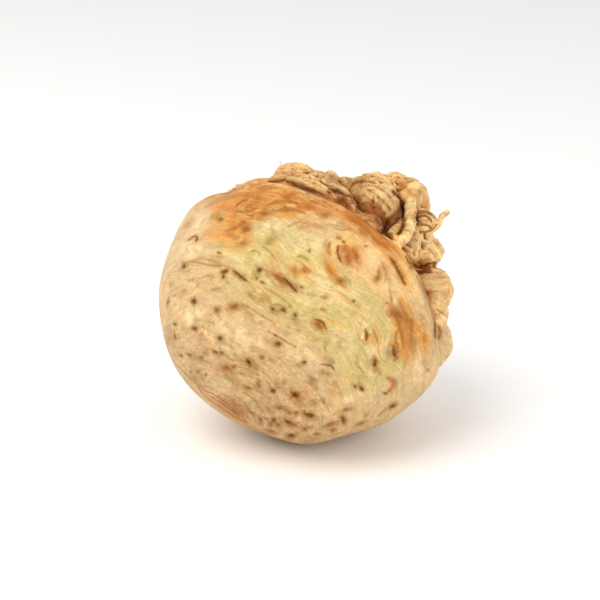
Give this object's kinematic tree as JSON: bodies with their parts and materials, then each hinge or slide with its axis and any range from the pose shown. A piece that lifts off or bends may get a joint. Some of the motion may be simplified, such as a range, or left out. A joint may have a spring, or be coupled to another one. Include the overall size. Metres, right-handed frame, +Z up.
{
  "type": "celeriac",
  "caption": "A trimmed celeriac lying on its side: a round pale ball with a knuckled, rooty end, used whole as food or as a still life and kitchen prop.",
  "frame": {"origin": "midway under the whole celeriac, at the height of the flat it rests on", "axes": "+Z is up. The crown faces the front left and down, toward -X and -Y, and the root end points up to the back right, toward +X and +Y"},
  "size_m": [0.1235, 0.1227, 0.1186],
  "materials": {
    "celeriac_skin": "matt raw vegetable skin, washed"
  },
  "bodies": {
    "root": {"celeriac": "celeriac_skin"}
  },
  "joints": []
}
